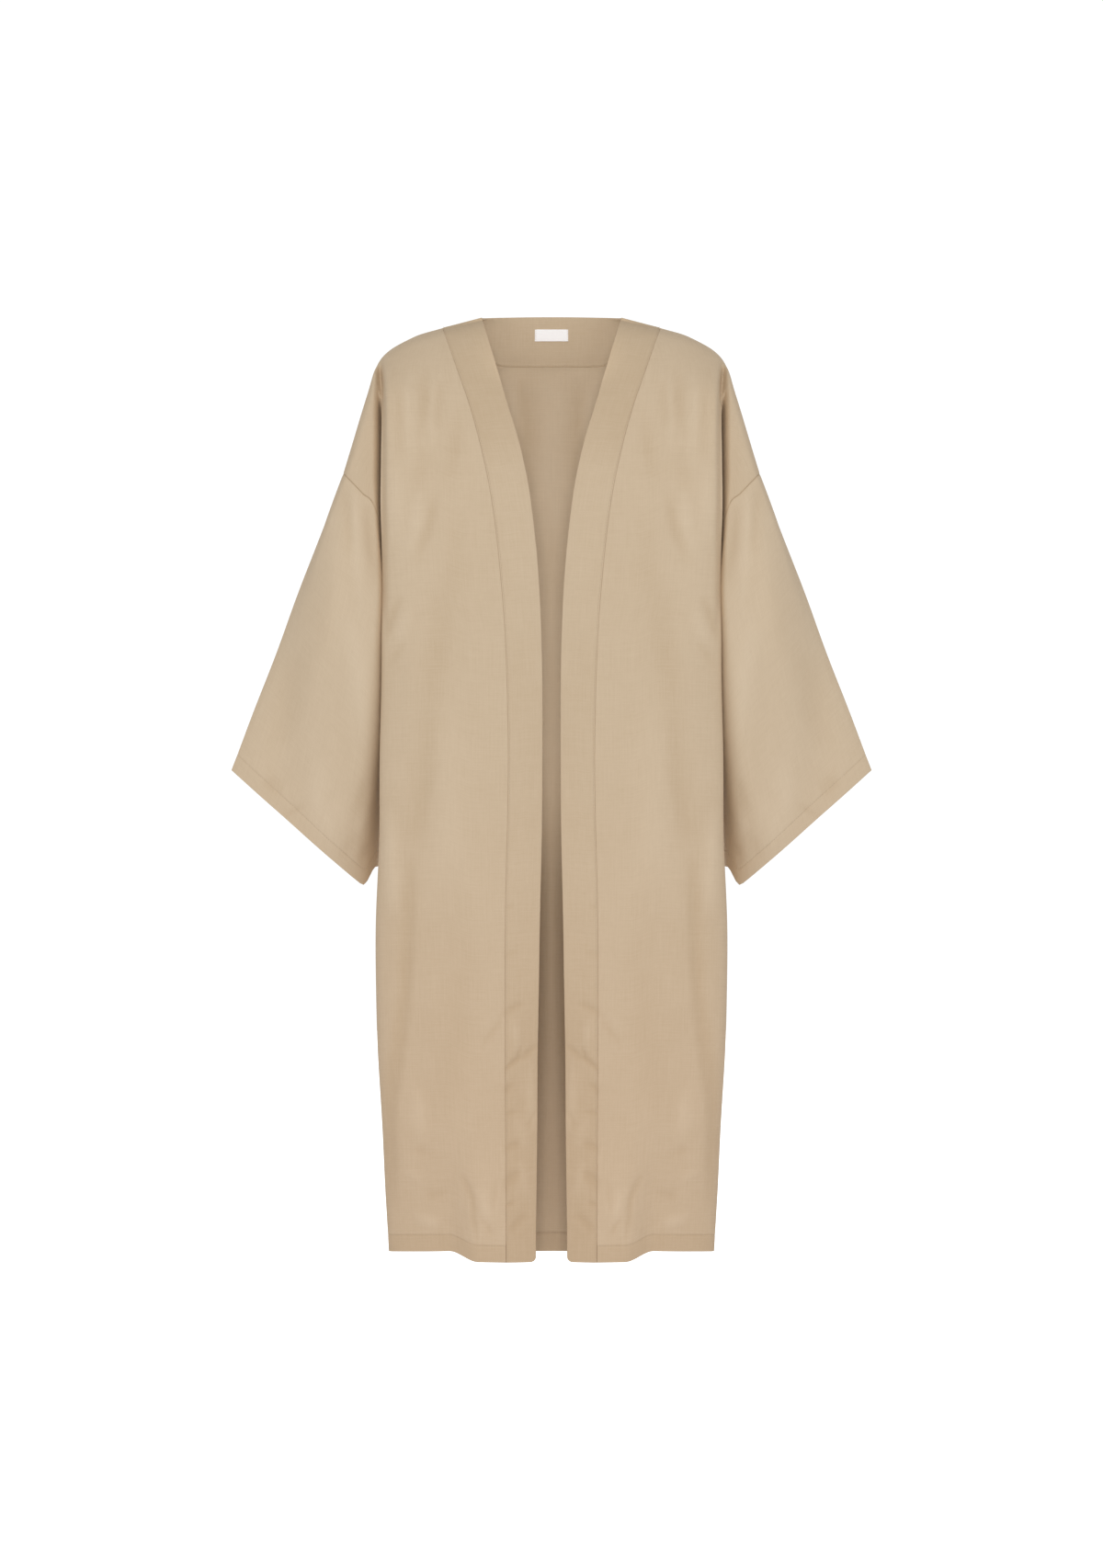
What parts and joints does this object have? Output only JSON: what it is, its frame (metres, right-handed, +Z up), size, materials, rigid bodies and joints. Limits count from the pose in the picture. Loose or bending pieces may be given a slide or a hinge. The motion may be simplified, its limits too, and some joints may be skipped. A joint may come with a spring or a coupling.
{
  "type": "kimono jacket",
  "caption": "Long open-front kimono jacket with a folded band round the neck and down the front, and wide drop-shoulder sleeves, hollow as worn.",
  "frame": {"origin": "midway between the two points where the shoulder line meets the neck, where the wearer's shoulders hold the jacket", "axes": "+Z up, the open front faces -Y, +X towards the wearer's left"},
  "size_m": [0.7106, 0.2181, 1.0516],
  "materials": {
    "linen": "matt plain-weave linen",
    "label": "smooth white woven tape"
  },
  "bodies": {
    "root": {"back": "linen", "front_left": "linen", "front_right": "linen", "sleeve_left": "linen", "sleeve_right": "linen", "band_left": "linen", "band_right": "linen", "band_neck": "linen", "neck_label": "label"}
  },
  "joints": []
}
